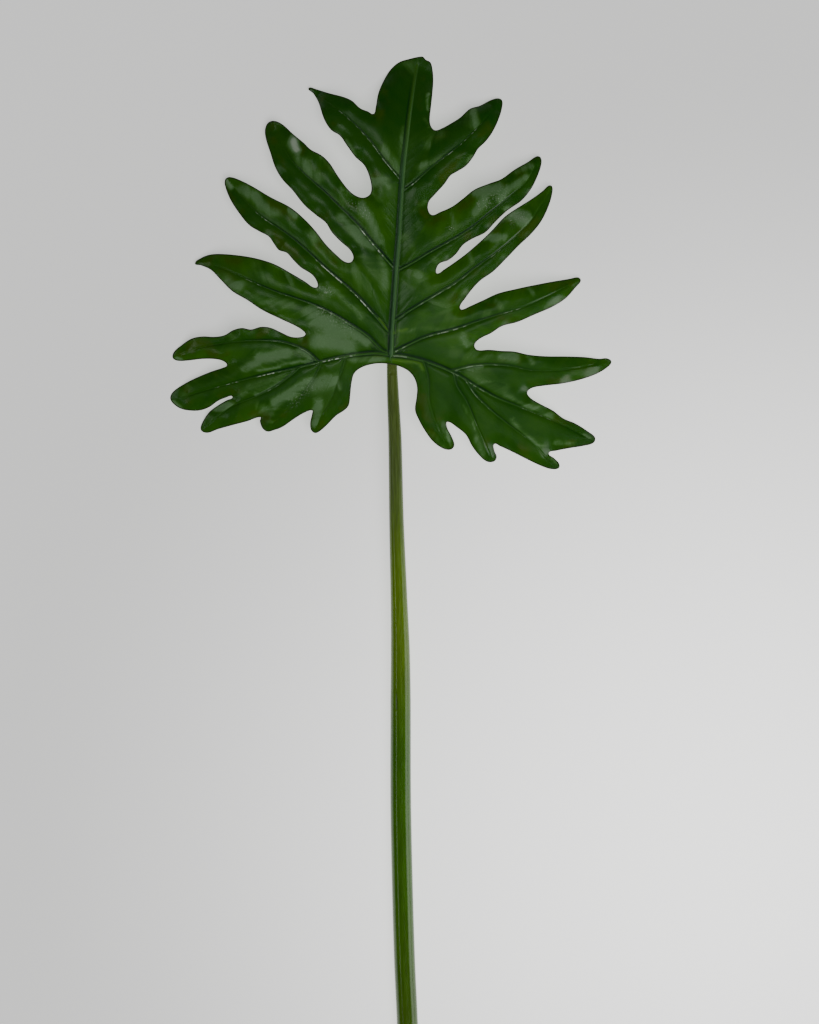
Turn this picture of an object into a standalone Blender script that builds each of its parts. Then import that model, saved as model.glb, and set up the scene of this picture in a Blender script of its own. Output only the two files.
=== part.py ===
"""A cut philodendron leaf with its stalk, lying on a flat surface with its upper face up.

The blade is one thin shell. Its outline and its veins are drawn lobe by lobe on squared paper, with the
joint of blade and stalk at (0, 0) and the tip of the leaf towards +Y. One height formula arches the blade,
sinks the veins into its upper face, waves its margins and bends its tips down to the surface.
Units are metres, +Z is up, and the origin is at the middle of the bounding box, on the surface.
"""

import math

import bmesh
import bpy
import numpy as np
from mathutils import Vector
from mathutils.geometry import delaunay_2d_cdt, interpolate_bezier

MM = 0.001

# Driving dimensions
BLADE_WIDTH = 300 * MM  # tip to tip across the widest lobes
SQUARES_ACROSS = 443.5  # the same width on the squared paper
SQUARE = BLADE_WIDTH / SQUARES_ACROSS
STALK_LENGTH = 545 * MM  # joint to cut end
LAMINA = 0.9 * MM  # thickness of the blade between its ribs
GAP = 0.3 * MM  # between the end of the stalk and the neck of the blade

# The arch of the blade over the surface
CROWN_HEIGHT = 27.5 * MM
CROWN_Y = 35 * MM  # the highest place, up the midrib from the joint
ARCH_ACROSS = 1.05  # drop per metre squared, sideways and towards the stalk
ARCH_AHEAD = 0.62  # drop per metre squared, towards the tip
REST_ROUNDING = 1.2 * MM  # how softly a lobe flattens where it meets the surface

# The relief of the blade
VALLEY_WIDTH = 4.5 * MM  # hollow along each vein
MIDRIB_VALLEY_WIDTH = 8 * MM
FOLD_ROUNDING = 1.5 * MM  # of the fold along each vein, where the blade turns from one slope to the other
TIP_SHALLOWING = 0.6  # share of a valley's depth that is lost at the tip of its lobe
HUB_REACH = 30 * MM  # the valleys and waves start this far from the joint
VEIN_TAPER = 0.65  # share of its width that a vein loses from root to tip
GROOVE_DEPTH = 0.8  # the groove along a vein; these five are shares of the vein's half width
GROOVE_WIDTH = 1.5
RIDGE_HEIGHT = 0.3  # the ridge that fills the midrib's groove
RIDGE_WIDTH = 0.85
UNDER_RIB = 1.2  # how far a vein stands out below
MARGIN_FALL = 1.6 * MM  # how far the margins roll down
MARGIN_FALL_WIDTH = 5 * MM
WAVE_HEIGHT = 0.9 * MM  # of the waves along the margin, which are the sum of two
WAVE_LENGTHS = (31 * MM, 17.5 * MM)
WAVE_SHARES = (0.65, 0.5)
WAVE_REACH = 8 * MM  # how far in from the margin the waves go
WAVE_CLEAR = 5 * MM  # how far they stay off a vein
CURL_FROM = 0.72  # share of a vein's length after which its tip bends down
BEND_BLENDING = 2.5 * MM  # how gradually one lobe's bend gives way to its neighbour's
JOINT_REACH = 13 * MM  # the blade is even underneath this far round the stalk's tip
JOINT_DEPTH = 1.8 * MM  # from the arch down to that even underside

# The mesh of the blade
EDGE_STEPS = 2  # spans between two drawn points of the outline
VEIN_STEPS = 6  # the same for a vein's line
VEIN_SPACING = 6.5 * MM  # of the mesh points along a vein
SIDE_ROW = 1.4 * MM  # how far beside a side vein a row of points follows it
MIDRIB_ROWS = (0.8, 1.6, 3.2)  # the same beside the midrib, in half widths of it
MARGIN_ROW = 3.6 * MM  # how far inside the margin a row of points follows it
FILL_SPACING = 7.5 * MM  # of the even grid over the rest
CLEARANCE_SHARE = 0.65  # of its own spacing that such a point keeps from the others
LEAST_SPACING = 1.1 * MM  # of the points along the veins from all others
EDGE_CLEARANCE = 2.2 * MM  # of every inner point from the margin
MERGE_DISTANCE = MM / 100
SHARP_ANGLE = math.radians(50)

BLADE_COLOUR = (0.022, 0.075, 0.008)
BLADE_ROUGHNESS = 0.4
STALK_COLOUR = (0.07, 0.115, 0.012)
STALK_ROUGHNESS = 0.35

# Each lobe, clockwise from the left of the stalk: its margin from notch to notch, and its vein from root
# to tip, both in squares. rib is the half width of the vein's root, hollow the depth of the valley along
# it, and curl how far the lobe's tip bends down, all in millimetres. folds is how steeply the blade falls
# away from the vein to its left and to its right, seen from its root.
LOBES = {
    "left_9": {
        "margin": [(0, -10), (-14, -9), (-28, -12), (-37, -18), (-40, -27), (-41.5, -40), (-43, -50),
                   (-47, -55), (-56, -61), (-65, -70), (-72, -76), (-77, -78), (-81, -75), (-82, -68),
                   (-80, -59), (-80, -55.5)],
        "vein": [(-46, -1.5), (-51, -18), (-60, -42), (-70, -60), (-76, -73)],
        "rib": 0.9, "hollow": 1.3, "curl": 3.0,
        "folds": (0.12, 0.15),
    },
    "left_8": {
        "margin": [(-88, -58), (-98, -64), (-110, -72), (-118, -75), (-125, -76.5), (-130, -73),
                   (-132.5, -66), (-132, -62)],
        "vein": [(-70, -6.5), (-76, -20), (-84, -32), (-94, -44), (-108, -58), (-121, -70)],
        "rib": 0.9, "hollow": 1.3, "curl": 2.0,
        "folds": (0.12, 0.15),
    },
    "left_7": {
        "margin": [(-145, -66), (-160, -70), (-175, -74), (-185, -77.5), (-191, -76), (-192.5, -72),
                   (-189, -64), (-183, -56), (-174, -49.5), (-166, -45), (-160, -41.5)],
        "vein": [(-92, -12), (-101, -20), (-116, -31), (-136, -41), (-159, -50), (-172, -59),
                 (-185, -70)],
        "rib": 1.0, "hollow": 1.3, "curl": 1.0,
        "folds": (0.1, 0.14),
    },
    "left_6": {
        "margin": [(-167, -42.5), (-175, -46), (-183, -51.5), (-193, -55), (-205, -55), (-214, -52.5),
                   (-221, -47), (-223, -42), (-220, -36), (-210, -29), (-196, -22), (-181, -16),
                   (-170, -12.5), (-165.5, -10)],
        "vein": [(-1, 0), (-16, 2), (-29, 1), (-41, -0.5), (-61, -4.5), (-74, -7.5), (-96, -13),
                 (-121, -18), (-146, -24), (-166, -29), (-188, -35), (-208, -41)],
        "rib": 1.6, "hollow": 1.3, "curl": 0.0,
        "folds": (0.08, 0.1),
    },
    "left_5": {
        "margin": [(-168, -6.5), (-176, -4), (-190, -3.5), (-205, -5), (-216, -5), (-220.5, -2),
                   (-219, 4), (-211, 11), (-201, 17), (-190, 19), (-178, 18.5), (-168, 20), (-159, 25),
                   (-150, 27), (-141, 25.5), (-131, 28), (-121, 27), (-110, 22), (-101, 18),
                   (-92, 17.5), (-86.5, 20)],
        "vein": [(-73, -7), (-84, 3), (-99, 10), (-116, 14), (-141, 14.5), (-171, 12), (-195, 7),
                 (-212, 1)],
        "rib": 1.1, "hollow": 1.3, "curl": 2.0,
        "folds": (0.14, -0.12),
    },
    "left_4": {
        "margin": [(-89, 24), (-97, 29), (-112, 36), (-130, 45), (-145, 55), (-160, 64), (-172, 76),
                   (-182, 86), (-192, 90.5), (-198, 92.5), (-192, 98), (-182, 101.5), (-168, 101.5),
                   (-150, 99.5), (-133, 96), (-116, 90), (-100, 81), (-86, 72.5), (-79, 67.5),
                   (-74.5, 67.5)],
        "vein": [(-1, 1), (-10, 5), (-24, 19), (-41, 30), (-61, 42), (-81, 51), (-101, 58), (-121, 65),
                 (-141, 74), (-163, 84), (-183, 92)],
        "rib": 1.3, "hollow": 1.3, "curl": 4.0,
        "folds": (0.07, 0.12),
    },
    "left_3": {
        "margin": [(-75, 73), (-80, 80), (-91, 87), (-99, 95), (-105, 101.5), (-113, 104.5),
                   (-118, 111), (-123, 118), (-132, 123), (-143, 130), (-153, 142), (-162, 156),
                   (-167.5, 170), (-167.5, 176.5), (-163, 179), (-153, 176), (-138, 168), (-120, 157),
                   (-102, 147.5), (-88, 136), (-76, 123), (-66, 110), (-55, 99), (-47, 92.5),
                   (-41, 92)],
        "vein": [(0, 20), (-7, 28), (-21, 44), (-34, 58), (-46, 69), (-68, 88), (-83, 102), (-99, 116),
                 (-114, 127), (-131, 139), (-146, 153), (-158, 168)],
        "rib": 1.3, "hollow": 1.3, "curl": 3.0,
        "folds": (-0.1, -0.1),
    },
    "left_2": {
        "margin": [(-38.5, 97), (-42, 104.5), (-51, 112.5), (-60, 122), (-66, 131.5), (-76, 139.5),
                   (-88, 150), (-99, 164), (-110, 176), (-117, 188), (-122, 203), (-126.5, 217),
                   (-127.5, 227), (-124, 234), (-117, 235), (-109, 231), (-99, 221.5), (-88, 212),
                   (-81, 205), (-70, 199), (-62, 191), (-54, 178.5), (-44, 165), (-36, 158.5),
                   (-28, 156.5), (-22, 160), (-20.5, 167)],
        "vein": [(4, 85), (-6, 96), (-18, 110), (-33, 128), (-51, 146), (-69, 164), (-88, 181),
                 (-100, 194), (-109, 209), (-116, 224)],
        "rib": 1.3, "hollow": 1.3, "curl": 4.0,
        "folds": (0.06, -0.12),
    },
    "left_1": {
        "margin": [(-23, 179), (-28, 189.5), (-37, 198), (-45, 209), (-52, 219), (-61, 225), (-68, 236),
                   (-74, 254), (-79, 263), (-84, 268.5), (-76, 267.5), (-62, 262.5), (-48, 258.5),
                   (-40, 254.5), (-32, 247), (-24, 243.5), (-18.5, 241)],
        "vein": [(9, 175), (-1, 186.5), (-8, 195), (-18, 209), (-29, 222), (-43, 236), (-59, 250),
                 (-75, 262)],
        "rib": 1.0, "hollow": 1.3, "curl": 7.0,
        "folds": (0.0, -0.02),
    },
    "apex": {
        "margin": [(-16.5, 247), (-14, 262), (-9, 275), (-2, 287), (7, 295), (18, 298.5), (27, 300.5),
                   (31, 300.5), (34, 297.5), (38.5, 295), (40.5, 289), (41.5, 277), (40.5, 262),
                   (39, 248), (37.8, 236), (39, 229), (43, 225)],
        "vein": [(-1, 0), (0, 25), (2, 55), (4, 85), (6.5, 115), (8, 140), (9.5, 165), (11.5, 190),
                 (14.5, 215), (17, 237), (20, 260), (22.5, 277), (25, 292)],
        "rib": 2.2, "hollow": 3.0, "curl": 11.0,
        "folds": (0.12, 0.15),
    },
    "right_1": {
        "margin": [(50, 227), (59, 232), (68, 238), (78, 247), (88, 250.5), (98, 256), (106, 258.5),
                   (110.5, 256.5), (110.5, 249), (107, 237), (101, 224), (94, 214), (86, 206),
                   (81, 197.5), (74, 189), (64, 182.5), (58.5, 179), (52, 170), (43, 160), (37, 153),
                   (36, 145), (40, 139.5)],
        "vein": [(9.5, 163), (21, 171), (37, 185), (53, 198), (69, 211), (79, 221), (92, 235),
                 (103, 249)],
        "rib": 1.0, "hollow": 1.3, "curl": 5.0,
        "folds": (0.2, 0.12),
    },
    "right_2": {
        "margin": [(48, 142.5), (60, 148), (70, 155.5), (82, 165), (97, 171.5), (109, 176),
                   (122, 185.5), (136, 194), (145, 200), (149, 199), (150, 193), (146, 180), (139, 166),
                   (129, 154), (115, 144), (103, 132.5), (93, 122), (80, 115.5), (71, 109.5),
                   (64, 100.5), (56, 94), (48, 91), (44.5, 86), (45, 81)],
        "vein": [(5, 84), (19, 91), (39, 103), (59, 114), (79, 126.5), (99, 143), (117, 158),
                 (134, 173), (144, 190)],
        "rib": 1.2, "hollow": 1.3, "curl": 4.0,
        "folds": (0.15, 0.12),
    },
    "right_3": {
        "margin": [(52, 85), (63, 92.5), (75, 101.5), (87, 112), (99, 123.5), (112, 137.5), (125, 147),
                   (139, 156), (151, 165), (157, 170.5), (160.5, 170), (161, 164), (157.5, 151),
                   (150, 135), (140, 122), (127, 109.5), (115, 97), (101, 83), (89, 74.5), (81, 66.5),
                   (73, 56), (67.8, 48), (69.5, 45)],
        "vein": [(1, 33), (19, 45), (39, 57), (64, 72), (82, 86), (104, 102), (124, 119), (140, 136),
                 (152, 155)],
        "rib": 1.3, "hollow": 1.3, "curl": 4.0,
        "folds": (0.15, 0.12),
    },
    "right_4": {
        "margin": [(77, 48), (90, 54), (105, 61), (122, 65.5), (142, 70), (162, 74), (178, 77),
                   (187, 78.5), (189.5, 75), (184, 68), (174, 57), (160, 48), (143, 40.5), (126, 33),
                   (110, 28.5), (99, 21.5), (88, 16), (82.5, 10), (85, 5)],
        "vein": [(0, 2), (14, 9), (34, 18), (64, 26), (84, 33), (109, 41), (134, 49), (158, 60),
                 (179, 71)],
        "rib": 1.3, "hollow": 1.3, "curl": 4.0,
        "folds": (0.12, 0.1),
    },
    "right_5": {
        "margin": [(97, 5), (109, 4), (122, 3.5), (136, 0.5), (152, -1), (172, -1), (193, -1.5),
                   (208, -3), (216, -2.5), (220.5, -6), (216, -12), (204, -19), (188, -24.5),
                   (170, -28.5), (153, -30.5), (140, -33), (135.5, -37.5)],
        "vein": [(60, -16), (79, -11), (99, -9.5), (119, -11), (139, -15), (159, -15.5), (184, -13),
                 (207, -8)],
        "rib": 1.1, "hollow": 1.3, "curl": 2.0,
        "folds": (0.1, 0.1),
    },
    "right_6": {
        "margin": [(139, -43), (149, -49), (161, -55), (172, -63), (184, -68), (197, -76), (204, -82),
                   (202.5, -87.5), (193, -90.5), (178, -93), (165, -95.5), (157.5, -98)],
        "vein": [(0, 0), (11, -1), (29, -5), (49, -12), (66, -20), (84, -31), (104, -42), (129, -52),
                 (154, -62), (176, -72), (194, -81)],
        "rib": 1.6, "hollow": 1.3, "curl": 0.0,
        "folds": (0.05, 0.08),
    },
    "right_7": {
        "margin": [(163, -103), (168, -108.5), (167.5, -113), (160, -114), (149, -110.5), (134, -103.5),
                   (118, -95.5), (108, -91), (102.5, -89)],
        "vein": [(74, -25), (83, -39), (99, -55), (119, -71), (139, -86), (150, -97), (161, -109)],
        "rib": 1.0, "hollow": 1.3, "curl": 1.0,
        "folds": (0.1, 0.05),
    },
    "right_8": {
        "margin": [(102.5, -95), (105, -102), (102, -106.5), (95, -106.5), (88, -101), (80, -91),
                   (74, -80), (65, -72.5), (55.5, -67)],
        "vein": [(62, -18), (65, -31), (75, -47), (85, -70), (94, -90), (99, -102)],
        "rib": 0.9, "hollow": 1.3, "curl": 2.0,
        "folds": (0.1, 0.05),
    },
    "right_9": {
        "margin": [(55, -72), (60, -82), (62.5, -90), (59, -94.5), (51, -93.5), (41, -86.5), (33, -76),
                   (26.5, -64.5), (23, -55), (24.5, -42), (25, -33), (22.5, -24), (17, -17),
                   (9, -12.5)],
        "vein": [(32, -6), (36.5, -25), (37, -43), (42, -62), (50, -80), (55, -91)],
        "rib": 0.9, "hollow": 1.3, "curl": 3.0,
        "folds": (0.1, 0.05),
    },
}

# The stalk from its tip under the blade to its cut end: x and y on the squared paper, the height of its
# axis in millimetres, and its width in squares.
STALK = [(0, 15, 21.6, 4), (0, 9, 21.3, 8), (0, 0, 20.7, 10), (0, -10, 20.4, 10.5), (1, -40, 19.3, 12),
         (3, -85, 17.6, 13.5), (4.5, -165, 14.6, 14.8), (7, -245, 11.7, 17), (8.3, -295, 10, 19.3),
         (8.6, -345, 8.7, 20.6), (8.7, -445, 7.3, 21), (10.2, -525, 6.9, 21.2), (12.5, -605, 6.8, 21.3),
         (15.2, -665, 6.8, 21.3), (18, -740, 6.8, 21.5), (21, -STALK_LENGTH / SQUARE, 6.8, 21.8)]
STALK_STEPS = 3  # rings between two points of its route
STALK_SIDES = 20
CUT_SLANT = 0.3  # how far the cut end leans, per unit of height
CUT_RING = 1 * MM  # points this near the end of the route are the cut's


def spline(points, steps, closed=False):
    """Points of a smooth curve through the given ones, with so many spans between each two of them."""
    knots = [Vector(point) for point in points]
    last = len(knots) - 1
    headings = []
    for i, knot in enumerate(knots):
        before = knots[i - 1] if closed or i > 0 else knot
        after = knots[(i + 1) % len(knots)] if closed or i < last else knot
        headings.append((after - before).normalized())
    line = []
    for i in range(len(knots) if closed else last):
        j = (i + 1) % len(knots)
        reach = (knots[j] - knots[i]).length / 3
        handles = knots[i] + headings[i] * reach, knots[j] - headings[j] * reach
        line += [point[:] for point in interpolate_bezier(knots[i], *handles, knots[j], steps + 1)[:-1]]
    if not closed:
        line.append(knots[last][:])
    return np.array(line)


def nearest(points, line):
    """Distance from each point to a line of straight pieces, how far along it the nearest place lies, and
    whether the point is to the line's left."""
    distance = np.full(len(points), np.inf)
    along = np.zeros(len(points))
    to_left = np.zeros(len(points), bool)
    run = 0
    for start, end in zip(line[:-1], line[1:]):
        step = end - start
        length = np.linalg.norm(step)
        share = np.clip((points - start) @ step / length ** 2, 0, 1)
        away = np.linalg.norm(points - start - share[:, None] * step, axis=1)
        closer = away < distance
        distance[closer] = away[closer]
        along[closer] = run + share[closer] * length
        to_left[closer] = ((points - start) @ (-step[1], step[0]) > 0)[closer]
        run += length
    return distance, along, to_left


def inside(points, margin):
    """Which of the points lie inside the closed margin."""
    x, y = points.T
    within = np.zeros(len(points), bool)
    for start, end in zip(margin, np.roll(margin, -1, axis=0)):
        if start[1] != end[1]:
            crossed = (start[1] > y) != (end[1] > y)
            place = start[0] + (y - start[1]) / (end[1] - start[1]) * (end[0] - start[0])
            within ^= crossed & (x < place)
    return within


class Vein:
    """The vein of one lobe, with its line in plan and the sizes of its relief."""

    def __init__(self, lobe, is_midrib):
        self.line = spline([(x * SQUARE, y * SQUARE) for x, y in lobe["vein"]], VEIN_STEPS)
        self.length = np.linalg.norm(np.diff(self.line, axis=0), axis=1).sum()
        self.half_width = lobe["rib"] * MM
        self.hollow = lobe["hollow"] * MM
        self.curl = lobe["curl"] * MM
        self.folds = lobe["folds"]
        self.is_midrib = is_midrib
        self.valley_width = MIDRIB_VALLEY_WIDTH if is_midrib else VALLEY_WIDTH

    def width_at(self, share):
        """Half the vein's width at a share of its length."""
        return self.half_width * (1 - VEIN_TAPER * share)

    def rows(self):
        """Even places for mesh points: a row along the vein's line, and a list of rows to its sides."""
        run = np.concatenate(([0], np.cumsum(np.linalg.norm(np.diff(self.line, axis=0), axis=1))))
        at = np.arange(VEIN_SPACING / 2, self.length, VEIN_SPACING)
        middle = np.column_stack([np.interp(at, run, self.line[:, axis]) for axis in (0, 1)])
        ahead = np.gradient(middle, axis=0)
        side = np.column_stack((-ahead[:, 1], ahead[:, 0])) / np.linalg.norm(ahead, axis=1)[:, None]
        width = self.width_at(at / self.length)[:, None]
        offsets = [row * width for row in MIDRIB_ROWS] if self.is_midrib else [SIDE_ROW]
        return middle, [middle + side * turn * offset for offset in offsets for turn in (-1, 1)]


def margin_line():
    """The outline of the blade in plan, all the way round."""
    drawn = [(x * SQUARE, y * SQUARE) for lobe in LOBES.values() for x, y in lobe["margin"]]
    return spline(drawn, EDGE_STEPS, closed=True)


def arch(points):
    """Height of the smooth arch that the blade is bent to."""
    x, y = points[:, 0], points[:, 1] - CROWN_Y
    return CROWN_HEIGHT - ARCH_ACROSS * (x ** 2 + np.minimum(y, 0) ** 2) - ARCH_AHEAD * np.maximum(y, 0) ** 2


def rest(height):
    """Heights that flatten out softly where they would sink into the surface."""
    return (height + np.hypot(height, REST_ROUNDING)) / 2


def bell(distance, width):
    """A smooth bump that is 1 at no distance and fades out past the width."""
    return np.exp(-(distance / width) ** 2)


def waves(run):
    """The waving of the margin along its length."""
    total = np.zeros(len(run))
    for length, share in zip(WAVE_LENGTHS, WAVE_SHARES):
        total += share * np.sin(2 * math.pi * run / length)
    return WAVE_HEIGHT * total


def faces_heights(points, margin, veins):
    """Heights of the lower and of the upper face of the blade over points in plan."""
    edge, run, _ = nearest(points, np.vstack((margin, margin[:1])))
    joint = bell(np.linalg.norm(points, axis=1) ** 2, JOINT_REACH ** 2)
    hub = 1 - bell(np.linalg.norm(points, axis=1), HUB_REACH)
    valley, groove, ridge, rib = np.zeros((4, len(points)))
    bend, weights = np.zeros((2, len(points)))
    clear = np.full(len(points), np.inf)
    for vein in veins:
        away, along, to_left = nearest(points, vein.line)
        share = along / vein.length
        width = vein.width_at(share)
        deep = vein.hollow * (1 - TIP_SHALLOWING * share ** 4)
        valley = np.maximum(valley, deep * bell(away, vein.valley_width))
        groove = np.maximum(groove, GROOVE_DEPTH * width * bell(away, GROOVE_WIDTH * width))
        if vein.is_midrib:
            ridge = bell(away, RIDGE_WIDTH * width)
            ridge_height = RIDGE_HEIGHT * width
        rib = np.maximum(rib, UNDER_RIB * width * bell(away, width))
        pull = np.exp(-away / BEND_BLENDING)
        bend += pull * vein.curl * np.clip((share - CURL_FROM) / (1 - CURL_FROM), 0, 1) ** 2
        fold = np.where(to_left, *vein.folds) * (np.hypot(away, FOLD_ROUNDING) - FOLD_ROUNDING)
        bend += pull * hub * fold
        weights += pull
        clear = np.minimum(clear, away)
    falling = MARGIN_FALL * bell(edge, MARGIN_FALL_WIDTH)
    waving = waves(run) * bell(edge, WAVE_REACH) * (1 - bell(clear, WAVE_CLEAR))
    middle = arch(points) - bend / weights + hub * (waving - falling - valley)
    lower = rest(middle - rib * (1 - joint))
    lower += joint * (arch(points) - JOINT_DEPTH - lower)
    return lower, rest(middle) + LAMINA - groove + ridge * (groove + ridge_height)


def margin_candidates(margin):
    """Places for mesh points in a row that follows the margin just inside it."""
    ahead = np.roll(margin, -1, axis=0) - np.roll(margin, 1, axis=0)
    ahead /= np.linalg.norm(ahead, axis=1)[:, None]
    return margin + MARGIN_ROW * np.column_stack((ahead[:, 1], -ahead[:, 0]))


def fill_candidates(margin):
    """Places for mesh points on an even grid of triangles over the whole blade."""
    low, high = margin.min(axis=0), margin.max(axis=0)
    rows = np.arange(low[1], high[1], FILL_SPACING * math.sqrt(3) / 2)
    places = []
    for i, y in enumerate(rows):
        shift = FILL_SPACING / 2 * (i % 2)
        places += [(x, y) for x in np.arange(low[0] + shift, high[0], FILL_SPACING)]
    return np.array(places)


def add_points(kept, candidates, margin, spacing):
    """Add the places that lie well inside the margin, each at least the spacing from all the others."""
    clear_of_edge = nearest(candidates, np.vstack((margin, margin[:1])))[0] > EDGE_CLEARANCE
    for place in candidates[inside(candidates, margin) & clear_of_edge]:
        if np.linalg.norm(kept - place, axis=1).min() >= spacing:
            kept = np.vstack((kept, place))
    return kept


def triangulate(margin, veins):
    """Split the blade's plan into triangles with edges along its margin and veins, widest vein first."""
    points, creases, sides = margin, [], []
    for vein in sorted(veins, key=lambda vein: -vein.half_width):
        middle, beside = vein.rows()
        first = len(points)
        points = add_points(points, middle, margin, LEAST_SPACING)
        creases += [(i, i + 1) for i in range(first, len(points) - 1)]
        sides += beside
    points = add_points(points, np.vstack(sides), margin, LEAST_SPACING)
    points = add_points(points, margin_candidates(margin), margin, MARGIN_ROW * CLEARANCE_SHARE)
    points = add_points(points, fill_candidates(margin), margin, FILL_SPACING * CLEARANCE_SHARE)
    outline = list(range(len(margin)))[::-1]
    corners = [Vector(point) for point in points]
    corners, _, triangles, *_ = delaunay_2d_cdt(corners, creases, [outline], 1, MERGE_DISTANCE / 10)
    return np.array([corner[:] for corner in corners]), triangles


def make_blade():
    """Build the blade as a sheet of triangles, given its two faces by an extrusion."""
    margin = margin_line()
    veins = [Vein(lobe, name == "apex") for name, lobe in LOBES.items()]
    plan, triangles = triangulate(margin, veins)
    lower, upper = faces_heights(plan, margin, veins)
    sheet = bmesh.new()
    number = sheet.verts.layers.int.new("number")
    corners = [sheet.verts.new((x, y, z)) for (x, y), z in zip(plan, lower)]
    for i, corner in enumerate(corners):
        corner[number] = i
    for triangle in triangles:
        sheet.faces.new([corners[i] for i in triangle])
    made = bmesh.ops.extrude_face_region(sheet, geom=sheet.faces[:])
    for vertex in made["geom"]:
        if isinstance(vertex, bmesh.types.BMVert):
            vertex.co.z = upper[vertex[number]]
    bmesh.ops.recalc_face_normals(sheet, faces=sheet.faces[:])
    bmesh.ops.triangulate(sheet, faces=[face for face in sheet.faces if len(face.verts) > 3])
    return finish_mesh(sheet, "blade")


def make_stalk():
    """Build the stalk as a tube along its route, flat where it rests and under the blade."""
    route = spline([(x * SQUARE, y * SQUARE, z * MM) for x, y, z, _ in STALK], STALK_STEPS)
    widths = np.interp(np.arange(len(route)) / STALK_STEPS, range(len(STALK)), [stop[3] for stop in STALK])
    curve = bpy.data.curves.new("stalk route", "CURVE")
    curve.dimensions = "3D"
    curve.bevel_depth = SQUARE / 2
    curve.bevel_resolution = STALK_SIDES // 2 - 2
    curve.render_resolution_u = 0
    curve.use_fill_caps = True
    curve.twist_mode = "Z_UP"
    strand = curve.splines.new("POLY")
    strand.points.add(len(route) - 1)
    for point, place, width in zip(strand.points, route, widths):
        point.co = (*place, 1)
        point.radius = width
    tube = bpy.data.objects.new("stalk route", curve)
    bpy.context.scene.collection.objects.link(tube)
    bpy.context.view_layer.update()
    mesh = bpy.data.meshes.new_from_object(tube.evaluated_get(bpy.context.evaluated_depsgraph_get()))
    bpy.data.objects.remove(tube)
    stalk = bmesh.new()
    stalk.from_mesh(mesh)
    bpy.data.meshes.remove(mesh)
    bmesh.ops.remove_doubles(stalk, verts=stalk.verts[:], dist=MERGE_DISTANCE)
    shape_stalk(stalk)
    bmesh.ops.triangulate(stalk, faces=stalk.faces[:])
    bmesh.ops.recalc_face_normals(stalk, faces=stalk.faces[:])
    return finish_mesh(stalk, "petiole")


def shape_stalk(stalk):
    """Flatten the tube on the surface and under the blade, and slant its cut end."""
    for vertex in stalk.verts:
        x, y, z = vertex.co
        if y > -JOINT_REACH:
            seat = arch(np.array([(x, y)]))[0] - JOINT_DEPTH - GAP
            vertex.co.z = min(z, seat)
        if y < CUT_RING - STALK_LENGTH:
            vertex.co.y -= CUT_SLANT * z
        vertex.co.z = max(vertex.co.z, 0)


def finish_mesh(shape, name):
    """Turn a shape into a smooth mesh of the given name."""
    mesh = bpy.data.meshes.new(name)
    shape.to_mesh(mesh)
    shape.free()
    mesh.shade_smooth()
    mesh.set_sharp_from_angle(angle=SHARP_ANGLE)
    return mesh


def make_material(name, colour, roughness):
    """A plain leaf surface of one colour."""
    material = bpy.data.materials.new(name)
    material.use_nodes = True
    surface = material.node_tree.nodes["Principled BSDF"]
    surface.inputs["Base Color"].default_value = (*colour, 1)
    surface.inputs["Roughness"].default_value = roughness
    surface.inputs["Metallic"].default_value = 0
    material.diffuse_color = (*colour, 1)
    return material


def place(pieces):
    """Put the origin under the middle of all the pieces, on the surface."""
    corners = np.array([vertex.co[:] for piece in pieces for vertex in piece.data.vertices])
    middle = (corners.min(axis=0) + corners.max(axis=0)) / 2
    for piece in pieces:
        piece.location = (-middle[0], -middle[1], -corners[:, 2].min())


def main():
    for thing in list(bpy.data.objects):
        bpy.data.objects.remove(thing)
    collection = bpy.data.collections.new("philodendron leaf")
    bpy.context.scene.collection.children.link(collection)
    pieces = []
    for mesh, material in ((make_blade(), make_material("leaf green", BLADE_COLOUR, BLADE_ROUGHNESS)),
                           (make_stalk(), make_material("stalk green", STALK_COLOUR, STALK_ROUGHNESS))):
        piece = bpy.data.objects.new(mesh.name, mesh)
        mesh.materials.append(material)
        collection.objects.link(piece)
        pieces.append(piece)
    place(pieces)


main()
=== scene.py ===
import math

import bmesh
import bpy
import numpy as np
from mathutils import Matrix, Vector
from mathutils.geometry import interpolate_bezier


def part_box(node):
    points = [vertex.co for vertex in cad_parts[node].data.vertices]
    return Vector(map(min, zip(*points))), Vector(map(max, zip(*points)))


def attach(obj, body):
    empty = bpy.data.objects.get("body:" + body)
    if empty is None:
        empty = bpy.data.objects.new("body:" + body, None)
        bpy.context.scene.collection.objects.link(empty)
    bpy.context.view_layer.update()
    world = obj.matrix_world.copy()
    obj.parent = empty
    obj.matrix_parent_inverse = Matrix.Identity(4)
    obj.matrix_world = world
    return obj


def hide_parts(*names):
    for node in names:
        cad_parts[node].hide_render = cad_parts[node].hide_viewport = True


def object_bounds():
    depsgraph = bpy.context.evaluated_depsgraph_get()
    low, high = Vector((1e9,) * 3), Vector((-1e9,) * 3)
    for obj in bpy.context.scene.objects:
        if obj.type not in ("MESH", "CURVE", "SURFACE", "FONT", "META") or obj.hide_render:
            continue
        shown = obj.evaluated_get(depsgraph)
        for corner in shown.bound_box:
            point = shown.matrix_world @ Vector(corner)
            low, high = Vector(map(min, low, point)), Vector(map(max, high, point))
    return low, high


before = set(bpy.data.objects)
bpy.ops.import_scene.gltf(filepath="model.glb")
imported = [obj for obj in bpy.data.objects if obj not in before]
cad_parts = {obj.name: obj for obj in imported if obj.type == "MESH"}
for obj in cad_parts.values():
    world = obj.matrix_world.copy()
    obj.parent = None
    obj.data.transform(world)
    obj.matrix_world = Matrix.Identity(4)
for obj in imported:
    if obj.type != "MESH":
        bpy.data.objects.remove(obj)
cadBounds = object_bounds()

mm = 0.001
square = 300 * mm / 443.5  # the leaf is drawn on squared paper, with the joint of blade and stalk at (0, 0)


# Small helpers for meshes

def deselectAll():
    for thing in list(bpy.context.selected_objects):
        thing.select_set(False)


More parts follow.
